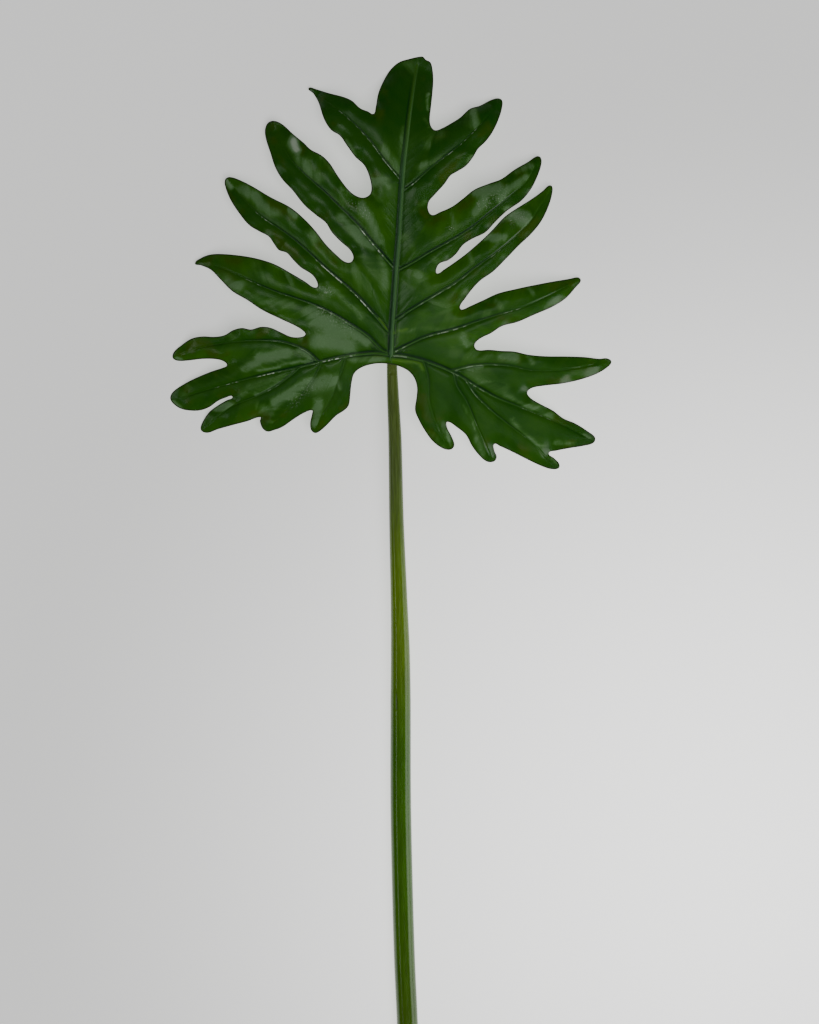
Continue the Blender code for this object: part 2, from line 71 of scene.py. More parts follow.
def newObject(name, data):
    thing = bpy.data.objects.new(name, data)
    bpy.context.scene.collection.objects.link(thing)
    return thing


def makeActive(thing):
    deselectAll()
    thing.select_set(True)
    bpy.context.view_layer.objects.active = thing


def editAll(thing):
    makeActive(thing)
    bpy.ops.object.mode_set(mode="EDIT")
    bpy.ops.mesh.select_all(action="SELECT")


def readPlaces(thing):
    places = np.zeros(len(thing.data.vertices) * 3)
    thing.data.vertices.foreach_get("co", places)
    return places.reshape(-1, 3)


def writePlaces(thing, places):
    thing.data.vertices.foreach_set("co", places.ravel())
    thing.data.update()


def readNumbers(thing, name):
    numbers = np.zeros(len(thing.data.vertices))
    thing.data.attributes[name].data.foreach_get("value", numbers)
    return numbers


def writeNumbers(thing, name, numbers):
    attributes = thing.data.attributes
    attribute = attributes.get(name) or attributes.new(name, "FLOAT", "POINT")
    attribute.data.foreach_set("value", np.asarray(numbers, dtype=np.float32))


def smoothLine(points, steps, closed=False):
    # a curve through the points, with the same rounding as the solid's own lines
    knots = [Vector(point) for point in points]
    last = len(knots) - 1
    headings = []
    for i, knot in enumerate(knots):
        before = knots[i - 1] if closed or i > 0 else knot
        after = knots[(i + 1) % len(knots)] if closed or i < last else knot
        headings.append((after - before).normalized())
    line = []
    for i in range(len(knots) if closed else last):
        j = (i + 1) % len(knots)
        reach = (knots[j] - knots[i]).length / 3
        handles = knots[i] + headings[i] * reach, knots[j] - headings[j] * reach
        line += [point[:] for point in interpolate_bezier(knots[i], *handles, knots[j], steps + 1)[:-1]]
    line.append(knots[0 if closed else last][:])
    return np.array(line)


def runAlong(line):
    # how far along the line each of its points lies
    return np.concatenate(([0], np.cumsum(np.linalg.norm(np.diff(line, axis=0), axis=1))))


def nearest(points, line):
    # distance to the line, to its left or right, and how far along it the nearest place is
    distance = np.full(len(points), np.inf)
    along = np.zeros(len(points))
    side = np.ones(len(points))
    for start, end, run in zip(line[:-1], line[1:], runAlong(line)):
        step = end - start
        length = np.linalg.norm(step)
        offset = points - start
        share = np.clip(offset @ step / length ** 2, 0, 1)
        away = np.hypot(offset[:, 0] - share * step[0], offset[:, 1] - share * step[1])
        closer = away < distance
        distance[closer] = away[closer]
        along[closer] = run + share[closer] * length
        side[closer] = np.sign(step[0] * offset[closer, 1] - step[1] * offset[closer, 0])
    return distance, np.where(side == 0, 1, side), along


def bell(distance, width):
    return np.exp(-(distance / width) ** 2)


# The blade

bladeShape = {
    "lamina": 0.9 * mm,
    "rimThickness": 0.62,  # share of the lamina's thickness that is left at the margin
    "rimBlending": 2.5 * mm,
    "rimRounding": 0.32 * mm,
    "rimTolerance": mm / 50,  # what lies so close to the margin is on it
    "wallTilt": 0.1,  # the solid's walls are faces whose normal rises less
    "lowest": (-223, -114.1625),  # the margin's lowest x and y, in squares
    "firstPlace": (0, -10),  # where its drawn places begin, left of the stalk
    # steps of the margin from one drawn place to the next: the solid's, for distances, for the rim, finest
    "solidSteps": 2,
    "edgeSteps": 4,
    "rimSteps": 8,
    "fineSteps": 32,
    "veinSteps": 6,
    "crownHeight": 27.5 * mm,
    "crownY": 35 * mm,
    "archAcross": 1.05,
    "archAhead": 0.62,
    "restRounding": 1.2 * mm,
    "valley": (4.5 * mm, 1.3 * mm),  # width and depth of the valley along a vein
    "midribValley": (8 * mm, 3 * mm),
    "foldRounding": 1.5 * mm,
    "tipShallowing": 0.6,
    "hubReach": 30 * mm,
    "veinTaper": 0.65,
    "grooveDepth": 0.8,
    "grooveWidth": 1.2,
    "ridgeHeight": 0.3,
    "ridgeWidth": 0.85,
    "cordWidth": 0.6,  # the raised cord in a side vein's groove, in half widths of the vein
    "cordShare": 0.85,  # how far it fills the groove at the root
    "cordEnd": 0.75,  # share of the vein's length where it is gone
    "underRib": 1.2,
    "marginFall": 1.6 * mm,
    "marginFallWidth": 5 * mm,
    "waveHeight": 0.9 * mm,
    "waveLengths": (31 * mm, 17.5 * mm),
    "waveShares": (0.65, 0.5),
    "waveReach": 8 * mm,
    "waveClear": 5 * mm,
    "curlFrom": 0.72,
    "bendBlending": 2.5 * mm,
    "jointReach": 13 * mm,
    "jointDepth": 1.8 * mm,
    "puckerHeight": 0.04 * mm,  # the fine puckers between the small side veins
    "puckerLength": 8 * mm,
    "puckerClear": 3 * mm,  # how far they stay from veins and margin
    "betweenBlending": 4 * mm,  # how soon they fade where two veins are equally near
    "tertiaryLean": 0.9,  # how far the small side veins lean forward, for each mm away from their vein
    "lobeShift": 37,  # their pattern's shift from lobe to lobe, and from side to side of a vein, in mm
    "sideShift": 90,
    "weld": mm / 200,
    "cuts": 3,
    "topGap": 0.02 * mm,  # between the highest place and the top of the solid
    # thin yellow-green lines in the skin, then painted glints, small bright places: half width in squares,
    # strength, and the places that the line runs through, in squares
    "yellowLines": [(1.5, 1, [(1, -6), (13, -7), (22, -7.5), (28, -9), (31, -15)]),
                    (0.9, 1, [(-5, 25), (-8, 30), (-13, 36)]), (1, 1, [(2, 22), (10, 24), (16, 26)])],
    "paintedGlints": [(4, 0.7, [(-70, 65), (-62, 62)]), (4, 0.4, [(-72, 45), (-40, 25)]),
               (5, 0.5, [(-40, 150), (-25, 140)]), (5, 0.6, [(90, 150), (110, 160)]),
               (4, 0.6, [(120, 135), (130, 140)]), (2, 0.8, [(57, 127), (60, 125)]),
               (4, 0.3, [(-100, -50), (-80, -30)])],
    "lowSideBlending": 0.7 * mm,
    "strokeBlending": mm,
    "strokeEdge": 2.6,
    "wander": 0.65 * mm,  # how far the strokes of painted sheen stray from their straight lines
    "wanderWaves": ((5.3, 2.9, 9), (4.7, 3.1, -11)),  # and over what lengths, in mm
}

# Each lobe, clockwise from the left of the stalk; the margin is the solid's. vein runs from root to tip, in
# squares. The list of painted sheen holds its soft strokes, a dull paler tone that stands in for the gloss:
# from and to in squares, half width in squares, strength; a stroke stays on its own side of the lobe's vein.
# rib is the vein's half width and curl the bend of the tip, in mm, and folds say how steeply the blade falls
# away to the vein's left and to its right. line gives the strength of the dark line of painted shade along
# the vein, the share of the vein's length where it has faded out, and how much painted glint lies along the
# vein's low side.
lobes = {
    "left9": {
        "vein": [(-46, -1.5), (-51, -18), (-60, -42), (-70, -60), (-76, -73)],
        "paintedSheen": [(-40, -4, -10, -6, 4, 0.7), (-84, -30, -58, -27, 9, 0.8), (-74, -45, -76, -66, 5, 0.8),
            (-55, -26, -52, -34, 2.5, 0.6)],
        "rib": 0.9, "curl": 3, "folds": (0.12, 0.15), "line": (0.35, 0.5, 0),
    },
    "left8": {
        "vein": [(-70, -6.5), (-76, -20), (-84, -32), (-94, -44), (-108, -58), (-121, -70)],
        "paintedSheen": [(-117, -48, -88, -32, 6, 0.95), (-130, -53, -122, -55, 6, 0.65),
            (-124, -66, -116, -69, 3, 0.5)],
        "rib": 0.9, "curl": 2, "folds": (0.12, 0.15), "line": (0.45, 0.65, 0.1),
    },
    "left7": {
        "vein": [(-92, -12), (-101, -20), (-116, -31), (-136, -41), (-159, -50), (-172, -59), (-185, -70)],
        "paintedSheen": [(-178, -53, -163, -50, 6, 1.05), (-150, -38, -108, -20, 5, 0.5),
            (-135, -41, -97, -17, 2, 0.85)],
        "rib": 1, "curl": 1, "folds": (0.1, 0.14), "line": (0.7, 0.75, 0.3),
    },
    "left6": {
        "vein": [(-1, 0), (-16, 2), (-29, 1), (-41, -0.5), (-61, -4.5), (-74, -7.5), (-96, -13),
            (-121, -18), (-146, -24), (-166, -29), (-188, -35), (-208, -41)],
        "paintedSheen": [(-212, -38, -203, -30, 5, 0.4), (-199, -24, -184, -21, 5, 0.35),
            (-176, -20, -168, -22, 4, 0.4), (-145, -18, -80, -6, 1.6, 0.9), (-219, -47, -214, -50, 3, 0.6)],
        "rib": 1.6, "curl": 0, "folds": (0.08, 0.1), "line": (1, 0.9, 0.9),
    },
    "left5": {
        "vein": [(-73, -7), (-84, 3), (-99, 10), (-116, 14), (-141, 14.5), (-171, 12), (-195, 7),
            (-212, 1)],
        "paintedSheen": [(-217, -2, -212, -4, 3, 0.8), (-133, -2, -104, 1, 7, 1.05), (-147, -13, -135, -8, 5, 0.8),
            (-92, 4, -82, -3, 4, 0.95), (-164, 24, -158, 20, 4, 0.3)],
        "rib": 1.1, "curl": 2, "folds": (0.14, -0.12), "line": (0.95, 0.68, 0.3),
    },
    "left4": {
        "vein": [(-1, 1), (-10, 5), (-24, 19), (-41, 30), (-61, 42), (-81, 51), (-101, 58), (-121, 65),
            (-141, 74), (-163, 84), (-183, 92)],
        "paintedSheen": [(-137, 89, -125, 76, 7, 0.6), (-106, 80, -99, 70, 4, 0.35), (-166, 76, -152, 68, 7, 0.8),
            (-134, 56, -100, 47, 7, 0.65), (-77, 40, -54, 20, 12, 1), (-50, 31, -24, 12, 6, 0.85),
            (-72, 14, -42, 8, 10, 0.95)],
        "rib": 1.3, "curl": 4, "folds": (0.07, 0.12), "line": (1, 0.97, 0.5),
    },
    "left3": {
        "vein": [(0, 20), (-7, 28), (-21, 44), (-34, 58), (-46, 69), (-68, 88), (-83, 102), (-99, 116),
            (-114, 127), (-131, 139), (-146, 153), (-158, 168)],
        "paintedSheen": [(-166, 176, -161, 171, 4, 1.2), (-150, 167, -118, 142, 7, 0.85),
            (-103, 144, -97, 138, 4.5, 0.95), (-84, 124, -78, 116, 6, 0.5), (-65, 108, -45, 88, 8, 0.45),
            (-73, 68, -62, 60, 5, 0.85), (-60, 65, -30, 38, 3.5, 0.65), (-40, 88, -22, 62, 8, 0.35)],
        "rib": 1.3, "curl": 3, "folds": (-0.1, -0.1), "line": (1, 1, 1),
    },
    "left2": {
        "vein": [(4, 85), (-6, 96), (-18, 110), (-33, 128), (-51, 146), (-69, 164), (-88, 181), (-100, 194),
            (-109, 209), (-116, 224)],
        "paintedSheen": [(-98, 213, -95, 205, 6, 1.85), (-96, 197, -72, 176, 7, 0.65),
            (-70, 197, -60, 183, 4, 0.6), (-51, 167, -48, 164, 2.5, 0.55), (-30, 148, -12, 112, 6, 0.85),
            (-52, 137, -18, 106, 6, 0.95), (-62, 160, -50, 150, 6, 0.35), (-12, 100, -7, 68, 5, 0.65),
            (-30, 95, -14, 76, 8, 0.45)],
        "rib": 1.3, "curl": 4, "folds": (0.06, -0.12), "line": (1, 0.95, 1),
    },
    "left1": {
        "vein": [(9, 175), (-1, 186.5), (-8, 195), (-18, 209), (-29, 222), (-43, 236), (-59, 250),
            (-75, 262)],
        "paintedSheen": [(-46, 212, -38, 203, 4, 0.65), (-26, 180, -15, 170, 6, 0.6),
            (-12, 178, -3, 166, 4.5, 0.75), (-22, 164, -10, 152, 2, 0.55), (-8, 205, 6, 186, 6, 0.65)],
        "rib": 1, "curl": 7, "folds": (0, -0.02), "line": (0.95, 0.85, 0.5),
    },
    "apex": {
        "vein": [(-1, 0), (0, 25), (2, 55), (4, 85), (6.5, 115), (8, 140), (9.5, 165), (11.5, 190),
            (14.5, 215), (17, 237), (20, 260), (22.5, 277), (25, 292)],
        "paintedSheen": [(12, 291, 34, 287, 9, 0.33), (11, 228, 8.5, 190, 3.2, 0.5),
            (37.5, 261, 36.5, 246, 1.5, 0.7), (33, 233, 36, 229, 3, 0.55)],
        "rib": 2.2, "curl": 11, "folds": (0.12, 0.15), "line": (1, 1, 0),
    },
    "right1": {
        "vein": [(9.5, 163), (21, 171), (37, 185), (53, 198), (69, 211), (79, 221), (92, 235), (103, 249)],
        "paintedSheen": [(50, 222, 36, 210, 8, 0.5), (77, 245, 80, 232, 8, 0.6), (86, 200, 75, 186, 5, 0.6),
            (64, 176, 58, 170, 4, 0.45), (26, 187, 49, 197, 3.5, 0.6)],
        "rib": 1, "curl": 5, "folds": (0.2, 0.12), "line": (0.9, 0.9, 0.6),
    },
    "right2": {
        "vein": [(5, 84), (19, 91), (39, 103), (59, 114), (79, 126.5), (99, 143), (117, 158), (134, 173),
            (144, 190)],
        "paintedSheen": [(84, 163, 104, 166, 8, 1.05), (108, 156, 134, 178, 5, 0.9), (94, 156, 80, 141, 5, 0.9),
            (123, 184, 137, 191, 5, 0.6), (58, 142, 61, 127, 4, 0.55), (16, 140, 34, 152, 4, 0.45),
            (12, 116, 24, 104, 7, 0.35), (41, 93, 48, 88, 4, 0.65)],
        "rib": 1.2, "curl": 4, "folds": (0.15, 0.12), "line": (1, 0.95, 0.15),
    },
    "right3": {
        "vein": [(1, 33), (19, 45), (39, 57), (64, 72), (82, 86), (104, 102), (124, 119), (140, 136),
            (152, 155)],
        "paintedSheen": [(117, 140, 133, 135, 8, 1.2), (93, 119, 111, 117, 5.5, 0.95), (76, 103, 79, 93, 4, 0.65),
            (24, 78, 36, 68, 6, 0.5), (30, 55, 55, 47, 6, 0.5)],
        "rib": 1.3, "curl": 4, "folds": (0.15, 0.12), "line": (0.85, 0.92, 0.3),
    },
    "right4": {
        "vein": [(0, 2), (14, 9), (34, 18), (64, 26), (84, 33), (109, 41), (134, 49), (158, 60), (179, 71)],
        "paintedSheen": [(136, 68, 142, 61, 4, 0.7), (88, 56, 96, 54, 4.5, 0.5), (104, 54, 108, 47, 3.5, 0.45),
            (43, 50, 58, 38, 6, 0.45), (70, 17, 75, 8, 5, 0.75), (10, 23, 62, 27, 2.5, 0.5),
            (84, 37, 96, 43, 5, 0.45)],
        "rib": 1.3, "curl": 4, "folds": (0.12, 0.1), "line": (1, 0.8, 0.5),
    },
    "right5": {
        "vein": [(60, -16), (79, -11), (99, -9.5), (119, -11), (139, -15), (159, -15.5), (184, -13),
            (207, -8)],
        "paintedSheen": [(107, -1, 121, -3, 6, 0.8), (62, 2, 100, -1, 7, 0.42), (137, -3, 141, -6, 4, 0.65),
            (64, -15, 90, -12.5, 1.6, 0.8)],
        "rib": 1.1, "curl": 2, "folds": (0.1, 0.1), "line": (0.6, 0.7, 0.3),
    },
    "right6": {
        "vein": [(0, 0), (11, -1), (29, -5), (49, -12), (66, -20), (84, -31), (104, -42), (129, -52),
            (154, -62), (176, -72), (194, -81)],
        "paintedSheen": [(76, -20, 112, -36, 8, 0.48), (112, -40, 160, -61, 4, 0.58), (194, -80, 199, -83, 3, 0.8),
            (165, -88, 185, -86, 3, 0.6)],
        "rib": 1.6, "curl": 0, "folds": (0.05, 0.08), "line": (0.95, 0.8, 0.25),
    },
    "right7": {
        "vein": [(74, -25), (83, -39), (99, -55), (119, -71), (139, -86), (150, -97), (161, -109)],
        "paintedSheen": [(118, -66, 152, -93, 3, 0.6), (160, -105, 163, -108, 3, 0.5)],
        "rib": 1, "curl": 1, "folds": (0.1, 0.05), "line": (0.75, 0.8, 0.2),
    },
    "right8": {
        "vein": [(62, -18), (65, -31), (75, -47), (85, -70), (94, -90), (99, -102)],
        "paintedSheen": [(72, -50, 84, -76, 1.6, 0.6), (86, -84, 93, -101, 5, 0.6)],
        "rib": 0.9, "curl": 2, "folds": (0.1, 0.05), "line": (0.75, 0.78, 0.2),
    },
    "right9": {
        "vein": [(32, -6), (36.5, -25), (37, -43), (42, -62), (50, -80), (55, -91)],
        "paintedSheen": [(30, -58, 44, -80, 5, 0.28), (38, -78, 52, -92, 4, 0.5), (56, -76, 60, -89, 2, 0.7)],
        "rib": 0.9, "curl": 3, "folds": (0.1, 0.05), "line": (0.6, 0.55, 0),
    },
}


def readMargin(blade, corner):
    # the drawn places of the solid's margin, clockwise
    shape = bladeShape
    solid = bmesh.new()
    solid.from_mesh(blade.data)
    follows = {}
    for face in solid.faces:
        if face.normal.z > shape["wallTilt"]:
            for loop in face.loops:
                if any(abs(other.normal.z) < shape["wallTilt"] for other in loop.edge.link_faces):
                    follows[loop.link_loop_next.vert] = loop.vert
    place = next(iter(follows))
    outline = []
    for _ in follows:
        outline.append(place.co[:2])
        place = follows[place]
    solid.free()
    outline = np.array(outline) - corner
    first = np.linalg.norm(outline - np.array(shape["firstPlace"]) * square, axis=1).argmin()
    return np.roll(outline, -first, axis=0)[::shape["solidSteps"]]


def archHeight(points):
    x, y = points[:, 0], points[:, 1] - bladeShape["crownY"]
    return (bladeShape["crownHeight"] - bladeShape["archAcross"] * (x ** 2 + np.minimum(y, 0) ** 2)
            - bladeShape["archAhead"] * np.maximum(y, 0) ** 2)


def restHeight(height):
    return (height + np.hypot(height, bladeShape["restRounding"])) / 2


def marginWaves(run):
    waves = [share * np.sin(2 * math.pi * run / length)
             for length, share in zip(bladeShape["waveLengths"], bladeShape["waveShares"])]
    return bladeShape["waveHeight"] * sum(waves)


def strayPoints(points):
    # the points, each moved a little by waves, so that straight strokes over them get uneven edges
    x, y = points.T / mm
    moves = [np.sin(p / own) + np.sin(q / other + p / slow)
             for p, q, (own, other, slow) in zip((y, x), (x, y), bladeShape["wanderWaves"])]
    return points + bladeShape["wander"] * np.column_stack(moves)


def drawnLines(points, lines):
    shown = np.zeros(len(points))
    for halfWidth, strength, places in lines:
        distance, _, _ = nearest(points, np.array(places) * square)
        shown = np.maximum(shown, strength * bell(distance, halfWidth * square))
    return shown


# the strokes of painted sheen, a paler tone that stands in for the gloss
def drawnSheen(strokes, vein, offset, strayed):
    # offset is how far each point lies from the vein, below 0 on its right
    shown = np.zeros(len(strayed))
    for x, y, endX, endY, halfWidth, strength in strokes:
        stroke = np.array([(x, y), (endX, endY)]) * square
        _, side, _ = nearest(stroke.mean(axis=0)[None], vein)
        panel = np.clip(0.5 + side * offset / bladeShape["strokeBlending"], 0, 1)
        away, _, _ = nearest(strayed, stroke)
        soft = np.exp(-(away / (halfWidth * square)) ** bladeShape["strokeEdge"])
        shown = np.maximum(shown, strength * panel * soft)
    return shown


def bladeRelief(points, drawn):
    # heights of both faces over points in plan, and what the materials need to know about each place
    shape = bladeShape
    edge, _, _ = nearest(points, smoothLine(drawn, shape["edgeSteps"], closed=True))
    _, _, run = nearest(points, smoothLine(drawn, shape["solidSteps"], closed=True))
    centre = np.linalg.norm(points, axis=1)
    joint = bell(centre ** 2, shape["jointReach"] ** 2)
    hub = 1 - bell(centre, shape["hubReach"])
    valley, groove, ridge, cord, rib, bend, weights, paintedSheen = np.zeros((8, len(points)))
    away, second = np.full((2, len(points)), np.inf)
    strayed = strayPoints(points)
    facts = {}
    for number, (name, lobe) in enumerate(lobes.items()):
        vein = smoothLine(np.array(lobe["vein"]) * square, shape["veinSteps"])
        distance, side, along = nearest(points, vein)
        here = along / runAlong(vein)[-1]
        wide = lobe["rib"] * mm * (1 - shape["veinTaper"] * here)
        isMidrib = name == "apex"
        reach, depth = shape["midribValley" if isMidrib else "valley"]
        deep = depth * (1 - shape["tipShallowing"] * here ** 4)
        valley = np.maximum(valley, deep * bell(distance, reach))
        carved = shape["grooveDepth"] * wide
        groove = np.maximum(groove, carved * bell(distance, shape["grooveWidth"] * wide))
        if isMidrib:
            ridge = bell(distance, shape["ridgeWidth"] * wide)
            ridgeHeight = shape["ridgeHeight"] * wide
            facts |= {"midribAway": side * distance / mm, "midribRun": along / mm}
        else:
            fill = shape["cordShare"] * np.clip(1 - here / shape["cordEnd"], 0, 1)
            cord = np.maximum(cord, fill * carved * bell(distance, shape["cordWidth"] * wide))
        rib = np.maximum(rib, shape["underRib"] * wide * bell(distance, wide))
        pull = np.exp(-distance / shape["bendBlending"])
        curlShare = np.clip((here - shape["curlFrom"]) / (1 - shape["curlFrom"]), 0, 1) ** 2
        slope = np.where(side > 0, *lobe["folds"])
        fold = slope * (np.hypot(distance, shape["foldRounding"]) - shape["foldRounding"])
        bend += pull * (lobe["curl"] * mm * curlShare + hub * fold)
        weights += pull
        paintedSheen = np.maximum(paintedSheen, drawnSheen(lobe["paintedSheen"], vein, side * distance, strayed))
        low = 1 if name.startswith("left") else -1  # the side of the vein that faces the stalk
        own = {
            "veinWidth": wide / mm, "veinShare": here,
            "veinLine": lobe["line"][0], "lineEnd": lobe["line"][1], "shine": lobe["line"][2],
            "lowSide": np.clip(0.5 + low * side * distance / shape["lowSideBlending"], 0, 1),
            "lean": ((along - shape["tertiaryLean"] * distance) / mm + number * shape["lobeShift"]
                     - side * shape["sideShift"]),
        }
        closer = distance < away
        for fact, numbers in own.items():
            facts[fact] = np.where(closer, numbers, facts.get(fact, 0))
        second = np.where(closer, away, np.minimum(second, distance))
        away = np.where(closer, distance, away)
    arch = archHeight(points)
    falling = shape["marginFall"] * bell(edge, shape["marginFallWidth"])
    waving = marginWaves(run) * bell(edge, shape["waveReach"]) * (1 - bell(away, shape["waveClear"]))
    middle = arch - bend / weights + hub * (waving - falling - valley)
    lower = restHeight(middle - rib * (1 - joint))
    lower += joint * (arch - shape["jointDepth"] - lower)
    upper = restHeight(middle) + shape["lamina"] - groove + np.maximum(ridge * (groove + ridgeHeight), cord)
    between = 1 - bell(second - away, shape["betweenBlending"])
    clear = between * (1 - bell(away, shape["puckerClear"])) * (1 - bell(edge, shape["puckerClear"]))
    upper += clear * shape["puckerHeight"] * np.cos(2 * math.pi * facts["lean"] * mm / shape["puckerLength"])
    return lower, upper, facts | {
        "paintedSheen": paintedSheen, "paintedGlint": drawnLines(points, shape["paintedGlints"]), "between": between,
        "yellow": drawnLines(points, shape["yellowLines"]), "edgeAway": edge / mm, "veinAway": away / mm,
    }


def makeBlade():
    shape = bladeShape
    blade = newObject("leafBlade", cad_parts["blade"].data.copy())
    editAll(blade)
    bpy.ops.mesh.customdata_custom_splitnormals_clear()
    bpy.ops.mesh.remove_doubles(threshold=shape["weld"])
    bpy.ops.object.mode_set(mode="OBJECT")
    lowest = np.array(shape["lowest"]) * square
    corner = np.array(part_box("blade")[0][:2]) - lowest  # where the joint lies in the frame
    drawn = readMargin(blade, corner)
    places = readPlaces(blade)
    lower, upper, _ = bladeRelief(places[:, :2] - corner, drawn)
    writeNumbers(blade, "faceSide", np.where(places[:, 2] > (lower + upper) / 2, 1, -1))
    editAll(blade)
    bpy.ops.mesh.subdivide(number_cuts=shape["cuts"])
    bpy.ops.object.mode_set(mode="OBJECT")
    faceSide = readNumbers(blade, "faceSide")
    plan = followMargin(readPlaces(blade)[:, :2] - corner, drawn)
    lower, upper, facts = bladeRelief(plan, drawn)
    thin = 1 - (1 - shape["rimThickness"]) * bell(facts["edgeAway"] * mm, shape["rimBlending"])
    height = lower + (upper - lower) * (0.5 + 0.5 * faceSide) * thin
    height *= min(1, (cadBounds[1][2] - shape["topGap"]) / height.max())
    writePlaces(blade, np.column_stack((roundRim(plan, drawn, faceSide) + corner, height)))
    for name, numbers in facts.items():
        writeNumbers(blade, name, numbers)
    bpy.ops.object.shade_smooth()
    return blade, corner


def followMargin(plan, drawn):
    # points on the solid's margin go to the finer margin, to the same share of their span
    shape = bladeShape
    solid, fine = (smoothLine(drawn, shape[steps], closed=True) for steps in ("solidSteps", "fineSteps"))
    edge, _, run = nearest(plan, solid)
    onRim = edge < shape["rimTolerance"]
    spans = np.interp(run[onRim], runAlong(solid), np.linspace(0, len(fine) - 1, len(solid)))
    moved = plan.copy()
    for axis in (0, 1):
        moved[onRim, axis] = np.interp(spans, np.arange(len(fine)), fine[:, axis])
    return moved


def roundRim(plan, drawn, faceSide):
    # pulls the upper and the lower rim in, so that the edge between them is round
    line = smoothLine(drawn, bladeShape["rimSteps"], closed=True)
    ahead = np.roll(line[:-1], -1, axis=0) - np.roll(line[:-1], 1, axis=0)
    ahead = np.vstack((ahead, ahead[:1]))
    ahead /= np.linalg.norm(ahead, axis=1)[:, None]
    edge, _, run = nearest(plan, line)
    onRim = edge < bladeShape["rimTolerance"]
    pull = bladeShape["rimRounding"] * (1 - np.sqrt(1 - np.clip(np.abs(faceSide), 0, 1) ** 2))
    moved = plan.copy()
    for axis, inward in ((0, ahead[:, 1]), (1, -ahead[:, 0])):
        moved[onRim, axis] += pull[onRim] * np.interp(run[onRim], runAlong(line), inward)
    return moved


# The stalk

stalkShape = {
    # x and y in squares, height of the axis in mm, width in squares; the last place is 545 mm from the joint
    "route": [(0, 15, 21.6, 4), (0, 9, 21.3, 8), (0, 0, 20.7, 10), (0, -10, 20.4, 10.5), (1, -40, 19.3, 12),
              (3, -85, 17.6, 13.5), (4.5, -165, 14.6, 14.8), (7, -245, 11.7, 17), (8.3, -295, 10, 19.3),
              (8.6, -345, 8.7, 20.6), (8.7, -445, 7.3, 21), (10.2, -525, 6.9, 21.2),
              (12.5, -605, 6.8, 21.3), (15.2, -665, 6.8, 21.3), (18, -740, 6.8, 21.5),
              (21, -545 * mm / square, 6.8, 21.8)],
    "sides": 64,
    "steps": 18,
    "cutSlant": 0.3,
    "cutBack": 1.1 * mm,
    # the cut end's rings, from the rim to the middle: size, as a share of the ring before it, and how far it
    # sinks into the stalk in mm
    "cutRings": [(0.985, -0.22), (0.965, -0.13), (0.975, 0), (0.9, 0.1), (0.78, 0.25), (0.55, 0.2)],
    "cutReach": 6 * mm,  # what lies so near the far end belongs to the cut
    "cutRim": 0.6 * mm,  # how much skin shows around the cut face
    "gap": 0.3 * mm,
    "sharpAngle": 50,
}


def makeStalk(corner):
    shape = stalkShape
    route = smoothLine([(x * square, y * square, z * mm) for x, y, z, _ in shape["route"]], shape["steps"])
    spans = len(shape["route"]) - 1
    stops = np.arange(len(route)) / shape["steps"]
    radii = np.interp(stops, range(spans + 1), [stop[3] * square / 2 for stop in shape["route"]])
    deselectAll()
    bpy.ops.mesh.primitive_cylinder_add(vertices=shape["sides"], radius=1, depth=1, end_fill_type="NGON")
    stalk = bpy.context.object
    stalk.name = "leafStalk"
    for pieces in (spans, shape["steps"]):
        selectParts(stalk, "EDGE", runsLengthwise)
        bpy.ops.mesh.subdivide(number_cuts=pieces - 1)
        bpy.ops.object.mode_set(mode="OBJECT")
    ring = readPlaces(stalk)
    stop = np.rint((0.5 - ring[:, 2]) * (len(route) - 1)).astype(int)
    ahead = np.gradient(route, axis=0)
    ahead /= np.linalg.norm(ahead, axis=1)[:, None]
    across = np.cross((0, 0, 1), ahead)
    across /= np.linalg.norm(across, axis=1)[:, None]
    over = np.cross(ahead, across)
    around = across[stop] * ring[:, :1] + over[stop] * ring[:, 1:2]
    places = route[stop] + radii[stop][:, None] * around
    seat = archHeight(places[:, :2]) - bladeShape["jointDepth"] - shape["gap"]
    underBlade = places[:, 1] > -bladeShape["jointReach"]
    places[underBlade, 2] = np.minimum(places[underBlade, 2], seat[underBlade])
    atCut = stop == len(route) - 1
    places[atCut, 1] -= shape["cutSlant"] * places[atCut, 2] - shape["cutBack"]
    places[:, 2] = np.maximum(places[:, 2], 0)
    places[:, :2] += corner
    writePlaces(stalk, places)
    writeNumbers(stalk, "around", np.degrees(np.arctan2(ring[:, 0], ring[:, 1])))
    writeNumbers(stalk, "down", (corner[1] - places[:, 1]) / mm)
    finishCut(stalk)
    makeActive(stalk)
    bpy.ops.object.shade_smooth_by_angle(angle=math.radians(shape["sharpAngle"]))
    return stalk


def selectParts(thing, kind, wanted):
    # selects the edges or faces that are wanted, and says where the middle of each face is
    makeActive(thing)
    bpy.ops.object.mode_set(mode="EDIT")
    bpy.ops.mesh.select_mode(type=kind)
    bpy.ops.mesh.select_all(action="DESELECT")
    solid = bmesh.from_edit_mesh(thing.data)
    chosen = [part for part in (solid.edges if kind == "EDGE" else solid.faces) if wanted(part)]
    for part in chosen:
        part.select_set(True)
    middles = [part.calc_center_median() for part in chosen if kind == "FACE"]
    bmesh.update_edit_mesh(thing.data)
    return middles


def runsLengthwise(edge):
    step = edge.verts[1].co - edge.verts[0].co
    return abs(step.z) > step.xy.length


